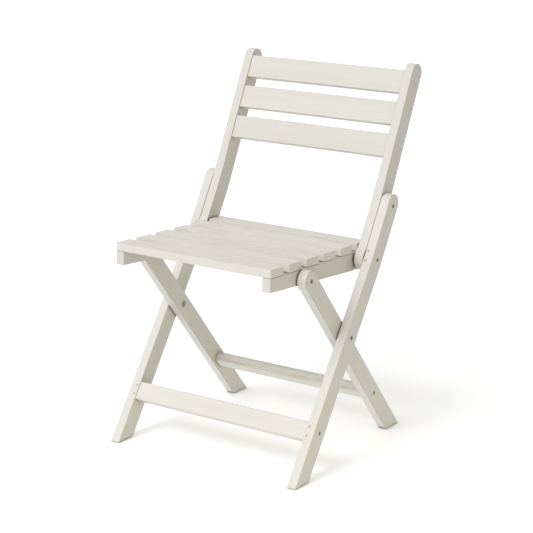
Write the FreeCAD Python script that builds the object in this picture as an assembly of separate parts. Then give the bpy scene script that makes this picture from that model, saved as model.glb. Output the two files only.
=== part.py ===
"""Wooden folding chair: two crossing leg frames, a slatted seat and a slatted back.

Frame: +Z up, +Y towards the back of the chair. "Right" and "left" in the names are as seen by a person
who stands in front of the chair and looks at it, and right is +X. The origin is on the floor, half way
between the left and the right side and half way between the front edge of the seat and the top of the
back.

Side view: each front leg runs from its foot, past the leg pivot and the rest rod, to a rounded top.
A back upright is fixed to its inner face at the rest rod and at the top screw. Each rear leg runs
from its foot, past the leg pivot, to the seat pivot. The seat turns on the seat pivots, and its
slotted rails hook over the rest rod when the chair is open.
"""
import FreeCAD, Part
import math
import os

V = FreeCAD.Vector

# ---------------------------------------------------------------- driving dimensions (mm, degrees)
# Widths across the chair
overall_width = 470.0
front_leg_thickness = 21.0
rear_leg_thickness = 21.0
upright_thickness = 21.0
seat_rail_thickness = 20.0
leg_gap = 1.2
seat_gap = 1.8

# Side view of the legs
leg_pivot_y = -39.4
leg_pivot_height = 262.0
front_leg_slope = 55.4
front_leg_upper_slope = 59.6
rear_leg_slope = 50.9
rest_rod_distance = 172.5
top_screw_distance = 118.0
seat_pivot_distance = 184.3
front_leg_width = 41.0
rear_leg_width = 39.5
leg_bend_radius = 500.0
seat_pivot_boss_radius = 21.5
boss_blend_radius = 60.0
front_leg_top_reach = 5.0
foot_chamfer = 2.1
foot_edge_height = 3.0

# Back
upright_slope = 64.0
upright_length = 287.0
upright_width = 40.0
upright_boss_radius = 25.0
back_slat_height = 50.0
back_slat_gap = 19.6
back_slat_thickness = 14.0
back_slat_inset = 2.0
back_slat_top_drop = 25.5
back_slat_count = 3
back_tenon_shoulder = 3.5

# Seat
seat_tilt = 2.75
seat_pivot_depth = 38.5
seat_slat_thickness = 17.5
seat_slat_width = 43.5
seat_slat_pitch = 63.5
seat_slat_count = 6
seat_front_overhang = 110.0
rail_front_height = 28.0
rail_back_height = 39.5
rail_back_radius = 14.0

# Cross bars
stretcher_height = 39.0
stretcher_thickness = 26.0
stretcher_inset = 2.0
stretcher_distance = 210.0
stretcher_screw_rise = 4.0
rung_height = 34.0
rung_thickness = 24.0
rung_distance = 208.5
rung_edge_radius = 10.0
tenon_length = 12.0
tenon_shoulder = 5.0

# Rest rod and its slot in the seat rails
rest_rod_radius = 6.0
rod_slot_clearance = 0.4
rod_slot_lean = 20.6
rod_slot_flare = 4.0
rod_end_depth = 12.0

# Pivot bolts: a socket-head bolt screwed into a smooth flanged sleeve nut
bolt_shank_radius = 3.0
bolt_head_radius = 5.0
bolt_head_depth = 2.5
sleeve_radius = 5.0
sleeve_flange_radius = 6.6
sleeve_flange_depth = 2.0
socket_radius = 2.2
socket_depth = 1.6
washer_radius = 11.0
washer_play = 0.2

# Wood screws and dowel pins
screw_shank_radius = 2.4
screw_head_radius = 4.4
screw_head_depth = 3.0
long_screw_length = 42.0
upright_screw_length = 36.0
rod_screw_length = 30.0
slat_screw_radius = 2.0
slat_screw_head_radius = 3.8
slat_screw_bite = 11.0
slat_screw_recess = 9.0
slat_screw_drive_radius = 1.2
slat_screw_share = 0.5
last_slat_screw_share = 0.8
pin_radius = 2.6
pin_length = 28.0
pin_spacing = 19.8
rod_pin_spacing = 22.0

# Fits and finish
running_clearance = 0.05
joint_clearance = 0.1
flange_clearance = 0.5
edge_radius = 1.7
rail_edge_radius = 1.4

# Working values of the model itself: how far cutters and fused tenons run past a face, the depth of the
# block that levels the feet, the smallest length that counts, and the sides of a hexagonal socket
overrun = 1.0
floor_block_depth = 200.0
tolerance = 0.01
socket_sides = 6

# ---------------------------------------------------------------- places worked out from them
half_width = overall_width / 2
front_leg_inner = half_width - front_leg_thickness
rear_leg_outer = front_leg_inner - leg_gap
rear_leg_inner = rear_leg_outer - rear_leg_thickness
upright_inner = front_leg_inner - upright_thickness
rail_outer = rear_leg_inner - seat_gap
rail_inner = rail_outer - seat_rail_thickness


def step(point, slope, distance):
    """Side-view point reached from point by going distance along a slope in degrees."""
    angle = math.radians(slope)
    return (point[0] + distance * math.cos(angle), point[1] + distance * math.sin(angle))


def beside(point, slope, distance, offset):
    """As step, then offset to the left of the slope."""
    return step(step(point, slope, distance), slope + 90.0, offset)


leg_pivot = (leg_pivot_y, leg_pivot_height)
rest_rod = step(leg_pivot, front_leg_slope, rest_rod_distance)
top_screw = step(rest_rod, front_leg_upper_slope, top_screw_distance)
front_leg_top = step(top_screw, front_leg_upper_slope, front_leg_top_reach)
upright_top = step(top_screw, upright_slope, upright_length)
seat_pivot = step(leg_pivot, 180.0 - rear_leg_slope, seat_pivot_distance)
front_foot_reach = leg_pivot_height / math.sin(math.radians(front_leg_slope)) + front_leg_width
rear_foot_reach = leg_pivot_height / math.sin(math.radians(rear_leg_slope)) + rear_leg_width
front_foot = step(leg_pivot, front_leg_slope, -front_foot_reach)
rear_foot = step(leg_pivot, -rear_leg_slope, rear_foot_reach)


# ---------------------------------------------------------------- helpers
def export(name, shape):
    """Write one closed node, after checking that its solids are sound."""
    shape = shape.removeSplitter()
    if not shape.isValid() or shape.Volume <= 0:
        raise ValueError(name + " is not a sound solid")
    shape.exportStep("parts/" + name + ".step")
    print("%-22s %d solid(s) %9.1f mm3" % (name, len(shape.Solids), shape.Volume))


def mirrored(shape):
    """The same piece on the other side of the chair."""
    return shape.mirror(V(0, 0, 0), V(1, 0, 0))


def both_sides(shape):
    """A node that holds a right-hand piece and its mirror image as separate solids."""
    return Part.makeCompound([shape, mirrored(shape)])


def rod(centre, radius, x_from, x_to):
    """Cylinder across the chair through a side-view point."""
    return Part.makeCylinder(radius, x_to - x_from, V(x_from, centre[0], centre[1]), V(1, 0, 0))


def tilted_box(corner, slope, length, height, x_from, x_to):
    """Box across the chair: its side view starts at corner, runs length along slope, height to the left."""
    box = Part.makeBox(x_to - x_from, length, height, V(x_from, 0, 0))
    box.rotate(V(0, 0, 0), V(1, 0, 0), slope)
    box.translate(V(0, corner[0], corner[1]))
    return box


def at(side_point, x=0.0):
    return V(x, side_point[0], side_point[1])


def boss_points(centre, slope, half_width_of_bar, boss_radius):
    """Points of a round boss at the start of a bar that runs along slope, with blends into the bar."""
    across = half_width_of_bar + boss_blend_radius
    span = boss_radius + boss_blend_radius
    reach = math.sqrt(span ** 2 - across ** 2)
    share = boss_radius / span
    turn = math.degrees(math.acos(reach / span))
    sides = []
    for side in (1, -1):
        meet = beside(centre, slope, share * reach, side * share * across)
        blend_centre = beside(centre, slope, reach, side * across)
        middle = step(blend_centre, slope - side * (90.0 + (90.0 - turn) / 2), boss_blend_radius)
        straight = beside(centre, slope, reach, side * half_width_of_bar)
        sides.append((meet, middle, straight))
    return sides


def bend_points(corner, slope_before, slope_after, offset):
    """Start, middle and end of the arc that rounds one bend, on the line offset to the left."""
    turn = slope_after - slope_before
    reach = leg_bend_radius * math.tan(math.radians(abs(turn)) / 2)
    start = beside(corner, slope_before, -reach, offset)
    end = beside(corner, slope_after, reach, offset)
    side = 1 if turn > 0 else -1
    centre = beside(corner, slope_before, -reach, side * leg_bend_radius)
    middle = step(centre, slope_before + turn / 2 - side * 90.0, leg_bend_radius - side * offset)
    return start, middle, end


def outline_face(edges, x):
    """Face in the side view, at height x across the chair, from lines (2 points) and arcs (3 points)."""
    curves = []
    for points in edges:
        corners = [at(point, x) for point in points]
        if len(corners) == 2:
            curves.append(Part.LineSegment(corners[0], corners[1]).toShape())
        else:
            curves.append(Part.Arc(corners[0], corners[1], corners[2]).toShape())
    return Part.Face(Part.Wire(curves))


def soften(solid, radius, x_faces):
    """Round the long edges of a board, which lie in its two broad faces, down to its foot."""
    edges = []
    for edge in solid.Edges:
        box = edge.BoundBox
        flat = box.XLength < tolerance
        on_face = any(abs(box.XMin - x) < tolerance for x in x_faces)
        if flat and on_face and box.ZMin > foot_edge_height:
            edges.append(edge)
    return solid.makeFillet(radius, edges)


def floor_cut(solid):
    """Cut a leg level with the floor and break the edges of its foot."""
    box = solid.BoundBox
    corner = V(box.XMin - overrun, box.YMin - overrun, -floor_block_depth)
    block = Part.makeBox(box.XLength + 2 * overrun, box.YLength + 2 * overrun, floor_block_depth, corner)
    solid = solid.cut(block)
    edges = [edge for edge in solid.Edges if edge.BoundBox.ZMax < tolerance]
    return solid.makeChamfer(foot_chamfer, edges)


def hexagon(centre, x_from, x_to):
    """Cutter for a hexagonal socket."""
    corners = []
    for number in range(socket_sides + 1):
        angle = 2 * math.pi * number / socket_sides
        corners.append(V(x_from, centre[0] + socket_radius * math.cos(angle),
                         centre[1] + socket_radius * math.sin(angle)))
    return Part.Face(Part.makePolygon(corners)).extrude(V(x_to - x_from, 0, 0))


def stopped_hole(centre, x_mouth, shank_radius, head_radius, head_depth, length):
    """Cutter for a screw driven inwards from x_mouth: a shank hole and a recess for its head."""
    shank = rod(centre, shank_radius, x_mouth - length, x_mouth + overrun)
    head = rod(centre, head_radius, x_mouth - head_depth, x_mouth + overrun)
    return shank.fuse(head)


def socket_screw(centre, x_mouth, shank_radius, head_radius, head_depth, length):
    """Screw or bolt whose head is flush with x_mouth, with a hexagonal socket."""
    body = rod(centre, shank_radius, x_mouth - length, x_mouth)
    head = rod(centre, head_radius, x_mouth - head_depth, x_mouth)
    return body.fuse(head).cut(hexagon(centre, x_mouth - socket_depth, x_mouth + overrun))


# ---------------------------------------------------------------- pivots
def pivot_bolt(centre, x_outer, x_inner):
    """Bolt from the outer face into the sleeve nut."""
    length = x_outer - x_inner - sleeve_flange_depth
    return socket_screw(centre, x_outer, bolt_shank_radius, bolt_head_radius, bolt_head_depth, length)


def pivot_nut(centre, x_outer, x_inner, outer_thickness):
    """Smooth sleeve nut: its flange is let into the inner face and its barrel is the bearing."""
    barrel_end = x_outer - outer_thickness / 2
    barrel = rod(centre, sleeve_radius, x_inner, barrel_end)
    flange = rod(centre, sleeve_flange_radius, x_inner, x_inner + sleeve_flange_depth)
    bore = rod(centre, bolt_shank_radius + joint_clearance, x_inner + sleeve_flange_depth,
               barrel_end + overrun)
    return barrel.fuse(flange).cut(bore).cut(hexagon(centre, x_inner - overrun, x_inner + socket_depth))


def fixed_pivot_hole(centre, x_outer, thickness):
    """Holes in the outer piece, which holds the bolt head and the end of the sleeve without turning."""
    middle = x_outer - thickness / 2
    shank = rod(centre, bolt_shank_radius + joint_clearance, x_outer - thickness - overrun, x_outer + overrun)
    head = rod(centre, bolt_head_radius + joint_clearance, x_outer - bolt_head_depth, x_outer + overrun)
    sleeve = rod(centre, sleeve_radius + joint_clearance, x_outer - thickness - overrun, middle)
    return shank.fuse(head).fuse(sleeve)


def turning_pivot_hole(centre, x_inner, thickness):
    """Running hole for the sleeve in the inner piece, with a free recess for the flange."""
    hole = rod(centre, sleeve_radius + running_clearance, x_inner - overrun, x_inner + thickness + overrun)
    recess = rod(centre, sleeve_flange_radius + flange_clearance, x_inner - overrun,
                 x_inner + sleeve_flange_depth + flange_clearance)
    return hole.fuse(recess)


def washer(centre, x_from, gap):
    """Washer that lies on the inner piece and fills the gap between two layers, less its play."""
    thickness = gap - washer_play
    ring = rod(centre, washer_radius, x_from, x_from + thickness)
    return ring.cut(rod(centre, sleeve_radius + joint_clearance, x_from - overrun,
                        x_from + thickness + overrun))


# ---------------------------------------------------------------- front legs
def front_leg():
    """Right front leg: a long board with one slight bend and a round top."""
    half = front_leg_width / 2
    right = bend_points(rest_rod, front_leg_slope, front_leg_upper_slope, -half)
    left = bend_points(rest_rod, front_leg_slope, front_leg_upper_slope, half)
    foot_right = beside(front_foot, front_leg_slope, 0, -half)
    foot_left = beside(front_foot, front_leg_slope, 0, half)
    top_right = beside(front_leg_top, front_leg_upper_slope, 0, -half)
    top_left = beside(front_leg_top, front_leg_upper_slope, 0, half)
    crown = step(front_leg_top, front_leg_upper_slope, half)
    face = outline_face([(foot_right, right[0]), right, (right[2], top_right), (top_right, crown, top_left),
                         (top_left, left[2]), left[::-1], (left[0], foot_left), (foot_left, foot_right)],
                        front_leg_inner)
    leg = floor_cut(face.extrude(V(front_leg_thickness, 0, 0)))
    leg = soften(leg, edge_radius, (front_leg_inner, half_width))
    leg = leg.cut(fixed_pivot_hole(leg_pivot, half_width, front_leg_thickness))
    leg = leg.cut(stopped_hole(top_screw, half_width, screw_shank_radius + joint_clearance,
                               screw_head_radius + joint_clearance, screw_head_depth,
                               front_leg_thickness + overrun))
    leg = leg.cut(stopped_hole(stretcher_screw, half_width, screw_shank_radius + joint_clearance,
                               screw_head_radius + joint_clearance, screw_head_depth,
                               front_leg_thickness + overrun))
    leg = leg.cut(stopped_hole(rest_rod, half_width, screw_shank_radius + joint_clearance,
                               screw_head_radius + joint_clearance, screw_head_depth,
                               front_leg_thickness + overrun))
    leg = leg.cut(rod(rest_rod, rest_rod_radius + joint_clearance, front_leg_inner - overrun,
                      front_leg_inner + rod_end_depth + joint_clearance))
    leg = leg.cut(stretcher_tenon(joint_clearance))
    for pin in leg_pins(joint_clearance):
        leg = leg.cut(pin)
    return leg


# ---------------------------------------------------------------- front stretcher
stretcher_centre_line = step(leg_pivot, front_leg_slope, -stretcher_distance)
stretcher_screw = step(stretcher_centre_line, front_leg_slope, stretcher_screw_rise)
stretcher_corner = beside(stretcher_centre_line, front_leg_slope, -stretcher_height / 2,
                          front_leg_width / 2 - stretcher_inset - stretcher_thickness)


def stretcher_tenon(clearance):
    """Tenon on the right end of the front stretcher, or its mortise when a clearance is given."""
    corner = beside(stretcher_corner, front_leg_slope, tenon_shoulder - clearance,
                    tenon_shoulder - clearance)
    width = stretcher_thickness - 2 * tenon_shoulder + 2 * clearance
    height = stretcher_height - 2 * tenon_shoulder + 2 * clearance
    return tilted_box(corner, front_leg_slope, height, width, front_leg_inner - overrun,
                      front_leg_inner + tenon_length + clearance)


def front_stretcher():
    """Board between the front legs, tenoned into them and screwed through their outer faces."""
    bar = tilted_box(stretcher_corner, front_leg_slope, stretcher_height, stretcher_thickness,
                     -front_leg_inner, front_leg_inner)
    edges = [edge for edge in bar.Edges if edge.BoundBox.XLength > front_leg_inner]
    bar = bar.makeFillet(edge_radius, edges)
    tenon = stretcher_tenon(0.0)
    bar = bar.fuse([tenon, mirrored(tenon)])
    hole = rod(stretcher_screw, screw_shank_radius + joint_clearance,
               half_width - long_screw_length - joint_clearance, half_width)
    bar = bar.cut(hole).cut(mirrored(hole))
    for pin in stretcher_pin_set(joint_clearance):
        bar = bar.cut(pin).cut(mirrored(pin))
    return bar


# ---------------------------------------------------------------- dowel pins in the front edges
def edge_pin(place, slope, clearance):
    """Pin driven into the front edge of a front leg, square to its slope, or its hole with a clearance."""
    mouth = beside(place, slope, 0, front_leg_width / 2)
    angle = math.radians(slope - 90.0)
    inwards = V(0, math.cos(angle), math.sin(angle))
    middle_x = front_leg_inner + tenon_length / 2
    past = overrun if clearance else 0.0
    start = at(mouth, middle_x) - inwards * past
    return Part.makeCylinder(pin_radius + clearance, pin_length + past + clearance, start, inwards)


def stretcher_pin_set(clearance):
    """Two pins that lock the stretcher's tenon."""
    places = [step(stretcher_centre_line, front_leg_slope, side * pin_spacing / 2) for side in (1, -1)]
    return [edge_pin(place, front_leg_slope, clearance) for place in places]


def rod_pin_set(clearance):
    """Two pins that stop the leg splitting above and below the rest rod."""
    above = step(rest_rod, front_leg_upper_slope, rod_pin_spacing / 2)
    below = step(rest_rod, front_leg_slope, -rod_pin_spacing / 2)
    return [edge_pin(above, front_leg_upper_slope, clearance),
            edge_pin(below, front_leg_slope, clearance)]


def leg_pins(clearance):
    return stretcher_pin_set(clearance) + rod_pin_set(clearance)


# ---------------------------------------------------------------- back uprights and slats
def back_upright():
    """Right back upright: a boss round the rest rod, a slight bend at the top screw, a round top."""
    half = upright_width / 2
    left_boss, right_boss = boss_points(rest_rod, front_leg_upper_slope, half, upright_boss_radius)
    right = bend_points(top_screw, front_leg_upper_slope, upright_slope, -half)
    left = bend_points(top_screw, front_leg_upper_slope, upright_slope, half)
    top_right = beside(upright_top, upright_slope, 0, -half)
    top_left = beside(upright_top, upright_slope, 0, half)
    crown = step(upright_top, upright_slope, half)
    heel = step(rest_rod, front_leg_upper_slope, -upright_boss_radius)
    face = outline_face([(left_boss[0], heel, right_boss[0]), right_boss, (right_boss[2], right[0]), right,
                         (right[2], top_right), (top_right, crown, top_left), (top_left, left[2]),
                         left[::-1], (left[0], left_boss[2]), left_boss[::-1]], upright_inner)
    upright = face.extrude(V(upright_thickness, 0, 0))
    upright = soften(upright, edge_radius, (upright_inner, front_leg_inner))
    upright = upright.cut(rod(rest_rod, rest_rod_radius + joint_clearance, upright_inner - overrun,
                              front_leg_inner + overrun))
    upright = upright.cut(rod(top_screw, screw_shank_radius + joint_clearance,
                              half_width - upright_screw_length - joint_clearance, half_width))
    for number in range(back_slat_count):
        upright = upright.cut(back_slat_tenon(number, joint_clearance))
    return upright


def back_slat_corner(number):
    """Lower back corner of one back slat in the side view, counted from the top."""
    along = upright_length - back_slat_top_drop + back_slat_height / 2
    along -= back_slat_height + number * (back_slat_height + back_slat_gap)
    return beside(top_screw, upright_slope, along,
                  upright_width / 2 - back_slat_inset - back_slat_thickness)


def back_slat_tenon(number, clearance):
    """Stub tenon on the right end of a back slat, or its mortise when a clearance is given."""
    corner = beside(back_slat_corner(number), upright_slope, tenon_shoulder - clearance,
                    back_tenon_shoulder - clearance)
    return tilted_box(corner, upright_slope, back_slat_height - 2 * tenon_shoulder + 2 * clearance,
                      back_slat_thickness - 2 * back_tenon_shoulder + 2 * clearance, upright_inner - overrun,
                      upright_inner + tenon_length + clearance)


def back_slat(number):
    slat = tilted_box(back_slat_corner(number), upright_slope, back_slat_height, back_slat_thickness,
                      -upright_inner, upright_inner)
    edges = [edge for edge in slat.Edges if edge.BoundBox.XLength > upright_inner]
    slat = slat.makeFillet(edge_radius, edges)
    tenon = back_slat_tenon(number, 0.0)
    return slat.fuse([tenon, mirrored(tenon)])


# ---------------------------------------------------------------- rest rod
def seat_rest_rod():
    """Steel rod across the chair that carries the back of the seat, tapped at both ends."""
    end = front_leg_inner + rod_end_depth
    bar = rod(rest_rod, rest_rod_radius, -end, end)
    tapped = rod(rest_rod, screw_shank_radius + joint_clearance,
                 half_width - rod_screw_length - joint_clearance, end + overrun)
    return bar.cut(tapped).cut(mirrored(tapped))


# ---------------------------------------------------------------- rear legs and rung
def rear_leg():
    """Right rear leg: a straight board with a boss round the seat pivot and a level foot."""
    half = rear_leg_width / 2
    left_boss, right_boss = boss_points(seat_pivot, -rear_leg_slope, half, seat_pivot_boss_radius)
    foot_left = beside(rear_foot, -rear_leg_slope, 0, half)
    foot_right = beside(rear_foot, -rear_leg_slope, 0, -half)
    heel = step(seat_pivot, -rear_leg_slope, -seat_pivot_boss_radius)
    face = outline_face([(left_boss[0], heel, right_boss[0]), right_boss, (right_boss[2], foot_right),
                         (foot_right, foot_left), (foot_left, left_boss[2]), left_boss[::-1]],
                        rear_leg_inner)
    leg = floor_cut(face.extrude(V(rear_leg_thickness, 0, 0)))
    leg = soften(leg, edge_radius, (rear_leg_inner, rear_leg_outer))
    leg = leg.cut(turning_pivot_hole(leg_pivot, rear_leg_inner, rear_leg_thickness))
    leg = leg.cut(fixed_pivot_hole(seat_pivot, rear_leg_outer, rear_leg_thickness))
    leg = leg.cut(stopped_hole(rung_centre, rear_leg_outer, screw_shank_radius + joint_clearance,
                               screw_head_radius + joint_clearance, screw_head_depth,
                               rear_leg_thickness + overrun))
    return leg.cut(rung_tenon(joint_clearance))


rung_centre = step(leg_pivot, -rear_leg_slope, rung_distance)
rung_corner = beside(rung_centre, -rear_leg_slope, -rung_height / 2, -rung_thickness / 2)


def rung_tenon(clearance):
    """Round tenon on the right end of the rung, or its socket when a clearance is given."""
    return rod(rung_centre, rung_thickness / 2 - tenon_shoulder + clearance, rear_leg_inner - overrun,
               rear_leg_inner + tenon_length + clearance)


def rear_rung():
    """Rung between the rear legs: a bar with its long edges rounded right over."""
    bar = tilted_box(rung_corner, -rear_leg_slope, rung_height, rung_thickness,
                     -rear_leg_inner, rear_leg_inner)
    edges = [edge for edge in bar.Edges if edge.BoundBox.XLength > rear_leg_inner]
    bar = bar.makeFillet(rung_edge_radius, edges)
    tenon = rung_tenon(0.0)
    bar = bar.fuse([tenon, mirrored(tenon)])
    hole = rod(rung_centre, screw_shank_radius + joint_clearance,
               rear_leg_outer - long_screw_length - joint_clearance, rear_leg_outer)
    return bar.cut(hole).cut(mirrored(hole))


# ---------------------------------------------------------------- seat
def rod_slot():
    """Slot over the rest rod, open below and flared forwards along the path the rod takes in folding."""
    radius = rest_rod_radius + rod_slot_clearance
    slot = rod(rest_rod, radius, rail_inner - overrun, rail_outer + overrun)
    for lean in (rod_slot_lean, rod_slot_lean + rod_slot_flare):
        slope = -90.0 - lean
        corner = beside(rest_rod, slope, 0, -radius)
        slot = slot.fuse(tilted_box(corner, slope, rail_back_height * 2, 2 * radius,
                                    rail_inner - overrun, rail_outer + overrun))
    return slot


rail_top_at_pivot = step(seat_pivot, 90.0 - seat_tilt, seat_pivot_depth - seat_slat_thickness)
rail_length = seat_slat_pitch * (seat_slat_count - 1) + seat_slat_width
rail_front_top = step(rail_top_at_pivot, -seat_tilt, -seat_front_overhang)


def seat_rail():
    """Right seat rail: a tapered board with a slot that hooks over the rest rod."""
    front_top = rail_front_top
    front_bottom = beside(rail_front_top, -seat_tilt, 0, -rail_front_height)
    back_top = step(rail_front_top, -seat_tilt, rail_length)
    back_bottom = beside(rail_front_top, -seat_tilt, rail_length, -rail_back_height)
    face = outline_face([(front_top, front_bottom), (front_bottom, back_bottom), (back_bottom, back_top),
                         (back_top, front_top)], rail_inner)
    rail = face.extrude(V(seat_rail_thickness, 0, 0))
    corner_middle = at(back_bottom, (rail_inner + rail_outer) / 2)
    low_back = [edge for edge in rail.Edges if edge.BoundBox.XLength > seat_rail_thickness / 2
                and edge.CenterOfMass.distanceToPoint(corner_middle) < tolerance]
    rail = rail.makeFillet(rail_back_radius, low_back)
    edges = [edge for edge in rail.Edges if edge.BoundBox.XLength < tolerance]
    rail = rail.makeFillet(rail_edge_radius, edges)
    rail = rail.cut(turning_pivot_hole(seat_pivot, rail_inner, seat_rail_thickness))
    rail = rail.cut(rod_slot())
    for number in range(seat_slat_count):
        rail = rail.cut(slat_screw_hole(number, joint_clearance))
    return rail


def slat_corner(number):
    """Lower front corner of one seat slat in the side view, counted from the front."""
    return step(rail_front_top, -seat_tilt, number * seat_slat_pitch)


def slat_screw_place(number):
    """Foot of a slat screw on the top of the rail; the last one stands clear of the rod slot."""
    share = last_slat_screw_share if number == seat_slat_count - 1 else slat_screw_share
    return step(slat_corner(number), -seat_tilt, seat_slat_width * share)


def slat_screw_axis(number, drop):
    """Point on a slat screw's axis, drop below the top of the rail."""
    middle_x = (rail_inner + rail_outer) / 2
    return at(beside(slat_screw_place(number), -seat_tilt, 0, -drop), middle_x)


up_slope = math.radians(90.0 - seat_tilt)
screw_up = V(0, math.cos(up_slope), math.sin(up_slope))


def slat_screw(number):
    """Screw driven up through the rail into a slat, with its head deep in a counterbore."""
    head_at = slat_screw_axis(number, rail_front_height - slat_screw_recess)
    length = rail_front_height - slat_screw_recess + slat_screw_bite
    shank = Part.makeCylinder(slat_screw_radius, length, head_at, screw_up)
    head = Part.makeCylinder(slat_screw_head_radius, screw_head_depth, head_at, screw_up)
    slot = Part.makeCylinder(slat_screw_drive_radius, socket_depth, head_at, screw_up)
    return shank.fuse(head).cut(slot)


def slat_screw_hole(number, clearance):
    start = slat_screw_axis(number, rail_back_height * 2)
    length = rail_back_height * 2 + slat_screw_bite + clearance
    shank = Part.makeCylinder(slat_screw_radius + clearance, length, start, screw_up)
    head_top = rail_back_height * 2 - rail_front_height + slat_screw_recess + screw_head_depth
    return shank.fuse(Part.makeCylinder(slat_screw_head_radius + clearance, head_top, start, screw_up))


def seat_slat(number):
    slat = tilted_box(slat_corner(number), -seat_tilt, seat_slat_width, seat_slat_thickness,
                      -rail_outer, rail_outer)
    slat = slat.makeFillet(edge_radius, slat.Edges)
    hole = slat_screw_hole(number, joint_clearance)
    return slat.cut(hole).cut(mirrored(hole))


# ---------------------------------------------------------------- fasteners
def wood_screw(centre, x_mouth, length):
    return socket_screw(centre, x_mouth, screw_shank_radius, screw_head_radius, screw_head_depth, length)


def build():
    os.makedirs("parts", exist_ok=True)

    leg = front_leg()
    export("right_front_leg", leg)
    export("left_front_leg", mirrored(leg))
    export("front_stretcher", front_stretcher())
    export("stretcher_screws", both_sides(wood_screw(stretcher_screw, half_width, long_screw_length)))
    for name, pins in (("stretcher_pins", stretcher_pin_set(0.0)), ("rest_rod_pins", rod_pin_set(0.0))):
        export(name, Part.makeCompound(pins + [mirrored(pin) for pin in pins]))

    upright = back_upright()
    export("right_back_upright", upright)
    export("left_back_upright", mirrored(upright))
    export("upright_screws", both_sides(wood_screw(top_screw, half_width, upright_screw_length)))
    for number in range(back_slat_count):
        export("back_slat_%d" % (number + 1), back_slat(number))
    export("seat_rest_rod", seat_rest_rod())
    export("rest_rod_screws", both_sides(wood_screw(rest_rod, half_width, rod_screw_length)))

    export("leg_pivot_bolts", both_sides(pivot_bolt(leg_pivot, half_width, rear_leg_inner)))
    export("leg_pivot_nuts", both_sides(pivot_nut(leg_pivot, half_width, rear_leg_inner,
                                                  front_leg_thickness)))
    export("leg_washers", both_sides(washer(leg_pivot, rear_leg_outer, leg_gap)))

    leg = rear_leg()
    export("right_rear_leg", leg)
    export("left_rear_leg", mirrored(leg))
    export("rear_rung", rear_rung())
    export("rung_screws", both_sides(wood_screw(rung_centre, rear_leg_outer, long_screw_length)))
    export("seat_pivot_bolts", both_sides(pivot_bolt(seat_pivot, rear_leg_outer, rail_inner)))
    export("seat_pivot_nuts", both_sides(pivot_nut(seat_pivot, rear_leg_outer, rail_inner,
                                                   rear_leg_thickness)))
    export("seat_washers", both_sides(washer(seat_pivot, rail_outer, seat_gap)))

    rail = seat_rail()
    export("right_seat_rail", rail)
    export("left_seat_rail", mirrored(rail))
    screws = []
    for number in range(seat_slat_count):
        export("seat_slat_%d" % (number + 1), seat_slat(number))
        screws += [slat_screw(number), mirrored(slat_screw(number))]
    export("slat_screws", Part.makeCompound(screws))

    print("back reaches y", upright_top[0] + upright_width / 2)


build()
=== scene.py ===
"""Looks for the wooden folding chair: every board, rod and fastener keeps its CAD shape and gets a material.

The paint is a satin off-white that lets a little grain through, and the grain runs along each board. Rounded
edges are rubbed to the wood, and each board differs slightly in tone. Painted shade darkens the faces turned
to the chair's sides, the creases and the places next to another piece, and the bottoms of the feet.
"""
import math

import bpy
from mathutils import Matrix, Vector


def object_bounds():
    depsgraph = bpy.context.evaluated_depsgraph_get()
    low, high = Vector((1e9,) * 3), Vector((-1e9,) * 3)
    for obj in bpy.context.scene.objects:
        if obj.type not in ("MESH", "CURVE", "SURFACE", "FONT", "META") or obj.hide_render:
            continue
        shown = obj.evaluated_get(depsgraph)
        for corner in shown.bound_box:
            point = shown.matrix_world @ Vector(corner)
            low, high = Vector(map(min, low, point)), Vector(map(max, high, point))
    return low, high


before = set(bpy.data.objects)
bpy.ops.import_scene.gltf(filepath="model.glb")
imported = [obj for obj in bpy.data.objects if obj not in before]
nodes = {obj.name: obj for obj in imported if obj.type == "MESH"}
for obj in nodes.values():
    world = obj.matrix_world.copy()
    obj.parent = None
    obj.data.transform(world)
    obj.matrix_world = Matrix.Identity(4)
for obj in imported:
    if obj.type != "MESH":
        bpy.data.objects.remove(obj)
cad_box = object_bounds()

# ---------------------------------------------------------------- grain directions (degrees, side view)
FRONT_LEG_SLOPE = 55.4
UPRIGHT_SLOPE = 64.0
REAR_LEG_SLOPE = -50.9
SEAT_SLOPE = -2.75
# boards along the chair's side, by a part of their name
ALONG_SLOPES = {"front_leg": FRONT_LEG_SLOPE, "back_upright": UPRIGHT_SLOPE,
                "rear_leg": REAR_LEG_SLOPE, "seat_rail": SEAT_SLOPE}
# boards across the chair, by the first word of their name
ACROSS_SLOPES = {"back": UPRIGHT_SLOPE, "seat": SEAT_SLOPE, "front": FRONT_LEG_SLOPE, "rear": REAR_LEG_SLOPE}

# ---------------------------------------------------------------- painted wood (colours in linear light)
PAINT = (0.645, 0.626, 0.576)
PAINT_DARK = (0.50, 0.472, 0.395)
PAINT_LIGHT = (0.672, 0.653, 0.603)
# colour painted as shade on faces turned to the chair's sides
PAINT_SIDE_SHADE = (0.605, 0.578, 0.495)
# bare wood on rubbed edges, also used as painted shade along the bottoms of the feet
BARE_WOOD_AND_FOOT_SHADE = (0.36, 0.31, 0.23)
# colour painted as shade in creases and next to other pieces
CREASE_SHADE = (0.14, 0.11, 0.075)

# how much lighter or darker the paint colour is drawn on each kind of board, and a little more from board to
# board
BOARD_TONES = {"back_slat": 0.955, "back_upright": 0.975, "seat_slat": 1.03,
               "seat_rail": 0.965, "rear_leg": 0.985}
OTHER_TONE = 1.0
LEAST_TONE = 0.992
TONE_SPREAD = 0.016
TONE_STEPS = 5
TONE_STRIDE = 7
EDGE_RUBS = {"rear_leg": 1.0, "seat_rail": 0.9, "back_upright": 0.75, "front_leg": 0.35}
OTHER_RUB = 0.5

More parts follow.
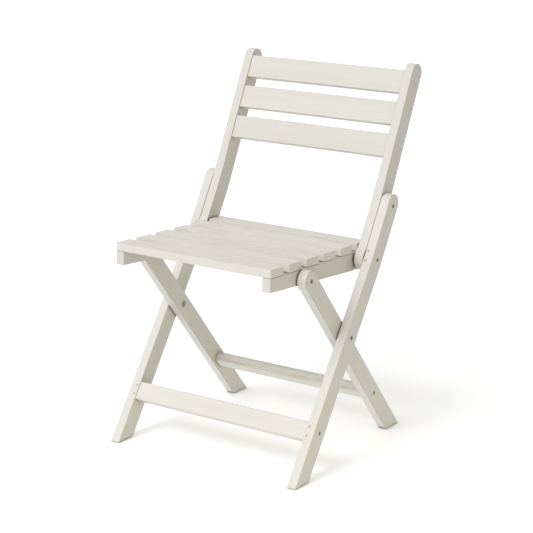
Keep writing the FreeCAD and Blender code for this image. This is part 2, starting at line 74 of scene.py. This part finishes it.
# noise layers: stretch is (along the grain, across it, across it), shift is added to the board's own number,
# and the rest are inputs of the Noise node
SEED_SHIFT = (1.37, 2.11, 0.73)
RINGS = {"stretch": (2.2, 34.0, 34.0), "shift": 0, "Scale": 1.0, "Detail": 5.0,
         "Roughness": 0.55, "Distortion": 0.35}
PORES = {"stretch": (14.0, 620.0, 620.0), "shift": 3, "Scale": 1.0, "Detail": 3.0, "Roughness": 0.6}
CLOUD = {"stretch": (3.0, 7.0, 7.0), "shift": 7, "Scale": 1.0, "Detail": 2.0}
BRUSH = {"stretch": (9.0, 240.0, 240.0), "shift": 11, "Scale": 1.0, "Detail": 2.0}
WORN = {"stretch": (30.0, 90.0, 90.0), "shift": 5, "Scale": 1.0, "Detail": 4.0}

# a band is the pair of levels between which a layer goes from none to all, or from all to none
RINGS_BAND = (0.34, 0.66)
PORES_BAND = (0.28, 0.46)
CLOUD_BAND = (0.35, 0.75)
WORN_BAND = (0.40, 0.62)
SIDE_SHADE_SHARE = 0.75           # painted shade, a darker and warmer colour on faces turned to the chair's side
PORES_SHARE = 0.26          # darker pores everywhere
PORES_SIDE_SHARE = 0.30     # and more of them on faces turned to the chair's side
CLOUD_SHARE = 0.10
LEAST_WORN = 0.4            # share of an edge's rub that is there even where the noise is lowest
EDGE_PEAK = 4.0             # the product of two squares is at most a quarter
# painted shade along the bottoms of the feet, where they meet the floor
FOOT_SHADE_HEIGHT = 0.004          # m above the floor
FOOT_SHADE_SHARE = 0.85
# painted shade in creases and next to other pieces, from ambient occlusion: its reach, samples, band and
# most share
CREASE_SHADE_REACH = 0.008         # m
CREASE_SHADE_SAMPLES = 8
CREASE_SHADE_BAND = (0.25, 0.80)
CREASE_SHADE_SHARE = 0.88

PAINT_ROUGHNESS = 0.43
CLOUD_ROUGHNESS = 0.09
CLOUD_ROUGHNESS_BAND = (0.3, 0.7)
PORES_ROUGHNESS = 0.08
PORES_ROUGHNESS_BAND = (0.3, 0.5)
PAINT_SPECULAR = 0.42
PAINT_COAT = 0.12
PAINT_COAT_ROUGHNESS = 0.38
PORES_HEIGHT = 0.55
RINGS_HEIGHT = 0.3
BRUSH_HEIGHT = 0.35
PAINT_BUMP = (0.28, 0.0005)     # strength, and height in m, here and in the other bumps

# ---------------------------------------------------------------- pins and metals
MIDDLE_BAND = (0.3, 0.7)

PIN_WOOD = (0.50, 0.48, 0.41)
PIN_WOOD_DARK = (0.36, 0.34, 0.28)
PIN_SPECK_SCALE = 1800.0
PIN_SPECK_BAND = (0.1, 0.5)
PIN_SPECK_SHARE = 0.5
PIN_CLOUD = {"Scale": 260.0, "Detail": 3.0}
PIN_ROUGHNESS = 0.6
PIN_ROUGHNESS_SPREAD = 0.15
PIN_BUMP = (0.25, 0.0003)

ZINC = (0.44, 0.40, 0.34)
ZINC_DARK = (0.20, 0.175, 0.14)
ZINC_MOTTLE = {"Scale": 420.0, "Detail": 4.0}
ZINC_PITS = {"Scale": 1700.0, "Detail": 2.0}
ZINC_PITS_BAND = (0.3, 0.42)
ZINC_PITS_SHARE = 0.6
ZINC_METALLIC = 0.9
ZINC_ROUGHNESS = 0.34
ZINC_ROUGHNESS_SPREAD = 0.2
ZINC_BUMP = (0.2, 0.0002)

ROD_STEEL = (0.48, 0.47, 0.46)
ROD_LINES_STRETCH = (6.0, 1500.0, 1500.0)
ROD_LINES_SEED = 2
ROD_LINES = {"Scale": 1.0, "Detail": 3.0}
ROD_HAZE = {"Scale": 24.0, "Detail": 5.0}
ROD_HAZE_BAND = (0.45, 0.7)
ROD_HAZE_SHARE = 0.5
ROD_METALLIC = 1.0
ROD_ROUGHNESS = 0.24
ROD_ROUGHNESS_SPREAD = 0.18
ROD_BUMP = (0.15, 0.0002)

# ---------------------------------------------------------------- floor, sky, key light and camera
FLOOR = (0.975, 0.975, 0.975)
FLOOR_FAR = (0.54, 0.54, 0.54)
FLOOR_NEAR_EDGE = 0.35      # m from the middle of the chair, where the floor starts to send back less light
FLOOR_FAR_EDGE = 2.0        # m, where it sends back least
FLOOR_SPAN = 4.0            # m, the distance that counts as 1 on the ramp
FLOOR_SIZE = 60
FLOOR_ROUGHNESS = 0.85
FLOOR_SPECULAR = 0.15
FLOOR_GLOW_COLOUR = (1.0, 1.0, 1.0, 1.0)
FLOOR_GLOW = 0.13

SKY_LEVEL = 0.80
SKY_FALL = (0.12, 0.17)     # how much darker the sky is towards +X and towards +Y
SKY_TINT = (1.0, 0.985, 0.88)
WHITE = (1, 1, 1)
KEY_FROM = (-0.20, -0.95, 0.97)
KEY_POWER = 1.20
KEY_SOFTNESS = 26
KEY_COLOUR = (1.0, 0.995, 0.985)

CAMERA_PLACE = Vector((1.9153, -2.7976, 1.3021))
CAMERA_YAW = 34.41
CAMERA_PITCH = -15.42
CAMERA_LENS = 112.7
CAMERA_SENSOR = 36
LEVEL_VIEW = 90             # a camera turned this far from straight down looks at the horizon


# ---------------------------------------------------------------- material helpers
class Shader:
    """A few short calls for building one node material."""

    def __init__(self, name):
        self.material = bpy.data.materials.new(name)
        self.material.use_nodes = True
        self.tree = self.material.node_tree
        self.surface = self.tree.nodes["Principled BSDF"]

    def set(self, socket, value):
        """Link a socket's value, or set it as a constant, with alpha 1 for a colour given without one."""
        if isinstance(value, bpy.types.NodeSocket):
            self.tree.links.new(value, socket)
        elif isinstance(value, tuple) and len(value) == 3 and socket.type == "RGBA":
            socket.default_value = (*value, 1)
        else:
            socket.default_value = value

    def node(self, kind, **sockets):
        made = self.tree.nodes.new(kind)
        for label, value in sockets.items():
            self.set(made.inputs[label.replace("_", " ")], value)
        return made

    def finish(self, **sockets):
        for label, value in sockets.items():
            self.set(self.surface.inputs[label.replace("_", " ")], value)
        return self.material

    def place(self, output="Object"):
        return self.node("ShaderNodeTexCoord").outputs[output]

    def noise(self, place, **inputs):
        return self.node("ShaderNodeTexNoise", Vector=place, **inputs).outputs["Fac"]

    def ramp(self, value, band, low_colour, high_colour):
        made = self.node("ShaderNodeValToRGB", Fac=value)
        for element, position, colour in zip(made.color_ramp.elements, band, (low_colour, high_colour)):
            element.position = position
            element.color = (*colour, 1)
        return made.outputs["Color"]

    def grey(self, value, band, low, high):
        return self.ramp(value, band, (low,) * 3, (high,) * 3)

    def mix(self, share, first, second):
        made = self.tree.nodes.new("ShaderNodeMix")
        made.data_type = "RGBA"
        # a Mix node has one set of inputs per data type: 0 is the factor, 6 and 7 are the two colours
        for number, value in ((0, share), (6, first), (7, second)):
            self.set(made.inputs[number], value)
        return made.outputs[2]

    def maths(self, operation, first, second):
        made = self.tree.nodes.new("ShaderNodeMath")
        made.operation = operation
        for socket, value in zip(made.inputs, (first, second)):
            self.set(socket, value)
        return made.outputs[0]

    def bump(self, height, strength_and_distance):
        strength, distance = strength_and_distance
        made = self.node("ShaderNodeBump", Height=height, Strength=strength, Distance=distance)
        return made.outputs["Normal"]


def turned(shader, vector, kind, slope):
    """A vector turned in the side view so that the board's slope becomes level."""
    made = shader.node("ShaderNodeMapping", Vector=vector)
    made.vector_type = kind
    made.inputs["Rotation"].default_value = (math.radians(-slope), 0, 0)
    return shader.node("ShaderNodeSeparateXYZ", Vector=made.outputs["Vector"]).outputs


def board_coordinates(shader, slope, across):
    """Object coordinates with +X along the board's grain: as they are for a board across the chair."""
    place = shader.place()
    if across:
        return place
    parts = turned(shader, place, "POINT", slope)
    joined = shader.node("ShaderNodeCombineXYZ", X=parts["Y"], Y=parts["X"], Z=parts["Z"])
    return joined.outputs["Vector"]


def stretched(shader, place, stretch, seed):
    """Coordinates squeezed along the grain and moved to a place of the board's own."""
    made = shader.node("ShaderNodeMapping", Vector=place)
    made.inputs["Scale"].default_value = stretch
    made.inputs["Location"].default_value = tuple(seed * shift for shift in SEED_SHIFT)
    return made.outputs["Vector"]


def grain_layer(shader, place, seed, stretch, shift, **inputs):
    """One noise layer of the paint, laid along the board."""
    return shader.noise(stretched(shader, place, stretch, seed + shift), **inputs)


def facing(shader, slope):
    """Squares of the surface normal: to the chair's side, up the slope, and square to both."""
    parts = turned(shader, shader.place("Normal"), "NORMAL", slope)
    return [shader.maths("MULTIPLY", parts[axis], parts[axis]) for axis in "XYZ"]


def edge_mask(shader, squares, across):
    """0 on a board's flat faces and round ends, rising to 1 half way round its rounded edges."""
    rest = shader.maths("ADD", squares[1], squares[2])
    mask = shader.maths("MULTIPLY", squares[0], rest)
    if across:
        mask = shader.maths("ADD", mask, shader.maths("MULTIPLY", squares[1], squares[2]))
    return shader.maths("MULTIPLY", mask, EDGE_PEAK)


def painted_crease_shade(shader):
    """Painted shade from ambient occlusion: the most deep in a crease or next to another piece, none a few
    millimetres away.
    """
    open_sky = shader.node("ShaderNodeAmbientOcclusion", Distance=CREASE_SHADE_REACH)
    open_sky.samples = CREASE_SHADE_SAMPLES
    return shader.grey(open_sky.outputs["AO"], CREASE_SHADE_BAND, CREASE_SHADE_SHARE, 0.0)


def board_value(table, name, other):
    """A board's own value in a table whose keys are parts of node names."""
    for part, value in table.items():
        if part in name:
            return value
    return other


def toned(colour, tone):
    return tuple(channel * tone for channel in colour)


# ---------------------------------------------------------------- materials
def painted_wood(name, slope, across, seed):
    """Satin off-white paint over planed wood, with faint open grain along the board."""
    shader = Shader(name)
    grain = board_coordinates(shader, slope, across)
    rings, pores, cloud, brush, worn = (grain_layer(shader, grain, seed, **layer)
                                        for layer in (RINGS, PORES, CLOUD, BRUSH, WORN))
    squares = facing(shader, slope)

    own_tone = LEAST_TONE + TONE_SPREAD * ((seed * TONE_STRIDE) % TONE_STEPS) / (TONE_STEPS - 1)
    tone = board_value(BOARD_TONES, name, OTHER_TONE) * own_tone
    base = shader.ramp(rings, RINGS_BAND, toned(PAINT, tone), toned(PAINT_LIGHT, tone))
    # painted shade: darker, warmer colour on faces turned to the chair's sides
    side_shade = shader.maths("MULTIPLY", squares[0], SIDE_SHADE_SHARE)
    base = shader.mix(side_shade, base, toned(PAINT_SIDE_SHADE, tone))
    streaks = shader.maths("ADD", shader.maths("MULTIPLY", squares[0], PORES_SIDE_SHARE), PORES_SHARE)
    streaks = shader.maths("MULTIPLY", shader.grey(pores, PORES_BAND, 1.0, 0.0), streaks)
    base = shader.mix(streaks, base, PAINT_DARK)
    base = shader.mix(shader.grey(cloud, CLOUD_BAND, 0.0, CLOUD_SHARE), base, PAINT_DARK)

    rub = board_value(EDGE_RUBS, name, OTHER_RUB)
    rubbed = shader.grey(worn, WORN_BAND, LEAST_WORN * rub, rub)
    rubbed = shader.maths("MULTIPLY", edge_mask(shader, squares, across), rubbed)
    base = shader.mix(rubbed, base, BARE_WOOD_AND_FOOT_SHADE)
    # painted shade at the bottoms of the feet, in the colour of bare wood
    height_above_floor = shader.node("ShaderNodeSeparateXYZ", Vector=shader.place()).outputs["Z"]
    foot_shade = shader.grey(height_above_floor, (FOOT_SHADE_HEIGHT / 2, FOOT_SHADE_HEIGHT), FOOT_SHADE_SHARE, 0.0)
    base = shader.mix(foot_shade, base, BARE_WOOD_AND_FOOT_SHADE)
    # painted shade in creases and next to other pieces, from ambient occlusion
    base = shader.mix(painted_crease_shade(shader), base, CREASE_SHADE)

    rough = shader.grey(cloud, CLOUD_ROUGHNESS_BAND, 0.0, CLOUD_ROUGHNESS)
    rough = shader.maths("ADD", rough, PAINT_ROUGHNESS)
    rough = shader.maths("ADD", rough, shader.grey(pores, PORES_ROUGHNESS_BAND, PORES_ROUGHNESS, 0.0))
    height = shader.maths("ADD", shader.maths("MULTIPLY", pores, PORES_HEIGHT),
                          shader.maths("MULTIPLY", rings, RINGS_HEIGHT))
    height = shader.maths("ADD", height, shader.maths("MULTIPLY", brush, BRUSH_HEIGHT))
    return shader.finish(Base_Color=base, Roughness=rough, Specular_IOR_Level=PAINT_SPECULAR,
                         Coat_Weight=PAINT_COAT, Coat_Roughness=PAINT_COAT_ROUGHNESS,
                         Normal=shader.bump(height, PAINT_BUMP))


def spread_roughness(shader, layer, spread, least):
    """Roughness that rises with a noise layer."""
    return shader.maths("ADD", shader.grey(layer, MIDDLE_BAND, 0.0, spread), least)


def pin_end_grain():
    """Painted-over end grain of a dowel pin: darker, speckled and slightly rough."""
    shader = Shader("pin_end_grain")
    place = shader.place()
    speck = shader.node("ShaderNodeTexVoronoi", Vector=place, Scale=PIN_SPECK_SCALE).outputs["Distance"]
    cloud = shader.noise(place, **PIN_CLOUD)
    base = shader.ramp(cloud, MIDDLE_BAND, PIN_WOOD_DARK, PIN_WOOD)
    base = shader.mix(shader.grey(speck, PIN_SPECK_BAND, PIN_SPECK_SHARE, 0.0), base, PIN_WOOD_DARK)
    return shader.finish(Base_Color=base,
                         Roughness=spread_roughness(shader, cloud, PIN_ROUGHNESS_SPREAD, PIN_ROUGHNESS),
                         Normal=shader.bump(speck, PIN_BUMP))


def zinc_steel():
    """Dulled zinc plating with a fine mottle and darker pits."""
    shader = Shader("zinc_steel")
    place = shader.place()
    mottle = shader.noise(place, **ZINC_MOTTLE)
    pits = shader.noise(place, **ZINC_PITS)
    base = shader.ramp(mottle, MIDDLE_BAND, ZINC_DARK, ZINC)
    base = shader.mix(shader.grey(pits, ZINC_PITS_BAND, ZINC_PITS_SHARE, 0.0), base, ZINC_DARK)
    return shader.finish(Base_Color=base, Metallic=ZINC_METALLIC,
                         Roughness=spread_roughness(shader, mottle, ZINC_ROUGHNESS_SPREAD, ZINC_ROUGHNESS),
                         Normal=shader.bump(pits, ZINC_BUMP))


def drawn_rod_steel():
    """Bright drawn rod with fine lines along it and a slight haze of oxide."""
    shader = Shader("drawn_rod_steel")
    place = shader.place()
    lines = shader.noise(stretched(shader, place, ROD_LINES_STRETCH, ROD_LINES_SEED), **ROD_LINES)
    haze = shader.noise(place, **ROD_HAZE)
    base = shader.mix(shader.grey(haze, ROD_HAZE_BAND, 0.0, ROD_HAZE_SHARE), ROD_STEEL, ZINC)
    return shader.finish(Base_Color=base, Metallic=ROD_METALLIC,
                         Roughness=spread_roughness(shader, lines, ROD_ROUGHNESS_SPREAD, ROD_ROUGHNESS),
                         Normal=shader.bump(lines, ROD_BUMP))


def floor_material():
    """White studio sweep: it sends back less light the further away it is, and shows plain white."""
    shader = Shader("studio_floor")
    length = shader.tree.nodes.new("ShaderNodeVectorMath")
    length.operation = "LENGTH"
    shader.set(length.inputs[0], shader.place())
    reach = shader.maths("DIVIDE", length.outputs["Value"], FLOOR_SPAN)
    band = (FLOOR_NEAR_EDGE / FLOOR_SPAN, FLOOR_FAR_EDGE / FLOOR_SPAN)
    sent_back = shader.ramp(reach, band, FLOOR, FLOOR_FAR)
    seen = shader.node("ShaderNodeLightPath").outputs["Is Camera Ray"]
    return shader.finish(Base_Color=shader.mix(seen, sent_back, FLOOR), Roughness=FLOOR_ROUGHNESS,
                         Specular_IOR_Level=FLOOR_SPECULAR, Emission_Color=FLOOR_GLOW_COLOUR,
                         Emission_Strength=FLOOR_GLOW)


# ---------------------------------------------------------------- dressing the CAD nodes
def wear(name, material):
    """Put one material in every slot of a CAD node."""
    data = nodes[name].data
    if not data.materials:
        data.materials.append(material)
    for number in range(len(data.materials)):
        data.materials[number] = material


def dress_chair():
    steel = zinc_steel()
    rod = drawn_rod_steel()
    pins = pin_end_grain()
    for number, name in enumerate(sorted(nodes)):
        if name == "seat_rest_rod":
            wear(name, rod)
        elif name.endswith("_pins"):
            wear(name, pins)
        elif name.endswith(("_screws", "_bolts", "_nuts", "_washers")):
            wear(name, steel)
        else:
            slope = board_value(ALONG_SLOPES, name, None)
            across = slope is None
            if across:
                slope = ACROSS_SLOPES[name.split("_")[0]]
            wear(name, painted_wood("paint_" + name, slope, across, number + 1))


# ---------------------------------------------------------------- studio
def sky():
    """A pale sky, darker to the right and behind. It is warm on the right, and plain white to the camera."""
    world = bpy.data.worlds.new("studio")
    bpy.context.scene.world = world
    world.use_nodes = True
    made = world.node_tree.nodes
    links = world.node_tree.links

    def maths(operation, first, second):
        node = made.new("ShaderNodeMath")
        node.operation = operation
        links.new(first, node.inputs[0])
        links.new(second, node.inputs[1])
        return node.outputs["Value"]

    parts = made.new("ShaderNodeSeparateXYZ")
    links.new(made.new("ShaderNodeTexCoord").outputs["Generated"], parts.inputs["Vector"])
    seen = made.new("ShaderNodeLightPath").outputs["Is Camera Ray"]
    level = None
    for axis, amount in zip("XY", SKY_FALL):
        fall = made.new("ShaderNodeMath")
        fall.operation = "MULTIPLY_ADD"
        fall.inputs[1].default_value = -amount
        fall.inputs[2].default_value = SKY_LEVEL
        links.new(parts.outputs[axis], fall.inputs[0])
        if level:
            links.new(level, fall.inputs[2])
        level = fall.outputs["Value"]
    tint = made.new("ShaderNodeValToRGB")
    links.new(maths("SUBTRACT", parts.outputs["X"], seen), tint.inputs["Fac"])
    for element, colour in zip(tint.color_ramp.elements, (WHITE, SKY_TINT)):
        element.color = (*colour, 1)
    background = made["Background"]
    links.new(tint.outputs["Color"], background.inputs["Color"])
    links.new(maths("MAXIMUM", level, seen), background.inputs["Strength"])


def studio():
    bpy.ops.mesh.primitive_plane_add(size=FLOOR_SIZE, location=(0, 0, cad_box[0][2]))
    floor = bpy.context.object
    floor.name = "studio_floor"
    floor.data.materials.append(floor_material())

    sky()
    data = bpy.data.lights.new("key", "SUN")
    data.energy = KEY_POWER
    data.angle = math.radians(KEY_SOFTNESS)
    data.color = KEY_COLOUR
    key = bpy.data.objects.new("key", data)
    bpy.context.scene.collection.objects.link(key)
    key.rotation_euler = (-Vector(KEY_FROM)).to_track_quat("-Z", "Y").to_euler()


def camera():
    data = bpy.data.cameras.new("camera")
    data.lens = CAMERA_LENS
    data.sensor_width = CAMERA_SENSOR
    eye = bpy.data.objects.new("camera", data)
    bpy.context.scene.collection.objects.link(eye)
    eye.location = CAMERA_PLACE
    eye.rotation_euler = (math.radians(LEVEL_VIEW + CAMERA_PITCH), 0, math.radians(CAMERA_YAW))
    bpy.context.scene.camera = eye


def picture_colours():
    view = bpy.context.scene.view_settings
    view.view_transform = "Standard"
    view.look = "None"
    view.exposure = 0.0


dress_chair()
studio()
camera()
picture_colours()
